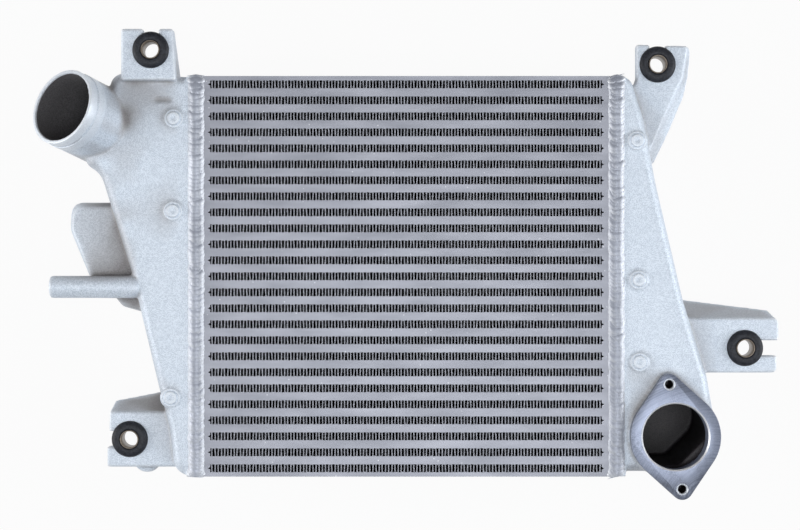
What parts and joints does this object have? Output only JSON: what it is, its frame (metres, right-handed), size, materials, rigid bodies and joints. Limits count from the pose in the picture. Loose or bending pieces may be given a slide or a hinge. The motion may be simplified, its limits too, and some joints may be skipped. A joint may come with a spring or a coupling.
{
  "type": "intercooler",
  "caption": "Bar-and-plate air-to-air intercooler with cast end tanks, an angled hose neck, a flanged outlet and rubber-bushed ears.",
  "frame": {"origin": "under the middle of the part's box, on the surface that it lies on", "axes": "+X from the inlet tank to the outlet tank, +Y up the stack of the core, +Z out of the front face"},
  "size_m": [0.4498, 0.2816, 0.0912],
  "materials": {
    "cast_aluminium": "blasted",
    "brazed_bar": "satin",
    "fin_strip": "satin",
    "turbulator_strip": "satin",
    "weld_metal": "rippled bright",
    "grommet_rubber": "matte",
    "sleeve_steel": "zinc plated"
  },
  "bodies": {
    "root": {"air_fin_01": "fin_strip", "charge_tube_01": "brazed_bar", "air_fin_02": "fin_strip", "charge_tube_02": "brazed_bar", "air_fin_03": "fin_strip", "charge_tube_03": "brazed_bar", "air_fin_04": "fin_strip", "charge_tube_04": "brazed_bar", "air_fin_05": "fin_strip", "charge_tube_05": "brazed_bar", "air_fin_06": "fin_strip", "charge_tube_06": "brazed_bar", "air_fin_07": "fin_strip", "charge_tube_07": "brazed_bar", "air_fin_08": "fin_strip", "charge_tube_08": "brazed_bar", "air_fin_09": "fin_strip", "charge_tube_09": "brazed_bar", "air_fin_10": "fin_strip", "charge_tube_10": "brazed_bar", "air_fin_11": "fin_strip", "charge_tube_11": "brazed_bar", "air_fin_12": "fin_strip", "charge_tube_12": "brazed_bar", "air_fin_13": "fin_strip", "charge_tube_13": "brazed_bar", "air_fin_14": "fin_strip", "charge_tube_14": "brazed_bar", "air_fin_15": "fin_strip", "charge_tube_15": "brazed_bar", "air_fin_16": "fin_strip", "charge_tube_16": "brazed_bar", "air_fin_17": "fin_strip", "charge_tube_17": "brazed_bar", "air_fin_18": "fin_strip", "charge_tube_18": "brazed_bar", "air_fin_19": "fin_strip", "charge_tube_19": "brazed_bar", "air_fin_20": "fin_strip", "charge_tube_20": "brazed_bar", "air_fin_21": "fin_strip", "charge_tube_21": "brazed_bar", "air_fin_22": "fin_strip", "charge_tube_22": "brazed_bar", "air_fin_23": "fin_strip", "charge_tube_23": "brazed_bar", "air_fin_24": "fin_strip", "charge_tube_24": "brazed_bar", "air_fin_25": "fin_strip", "charge_turbulators": "turbulator_strip", "upper_side_plate": "brazed_bar", "lower_side_plate": "brazed_bar", "inlet_tank": "cast_aluminium", "outlet_tank": "cast_aluminium", "inlet_weld": "weld_metal", "outlet_weld": "weld_metal", "grommets": "grommet_rubber", "sleeves": "sleeve_steel"}
  },
  "joints": []
}
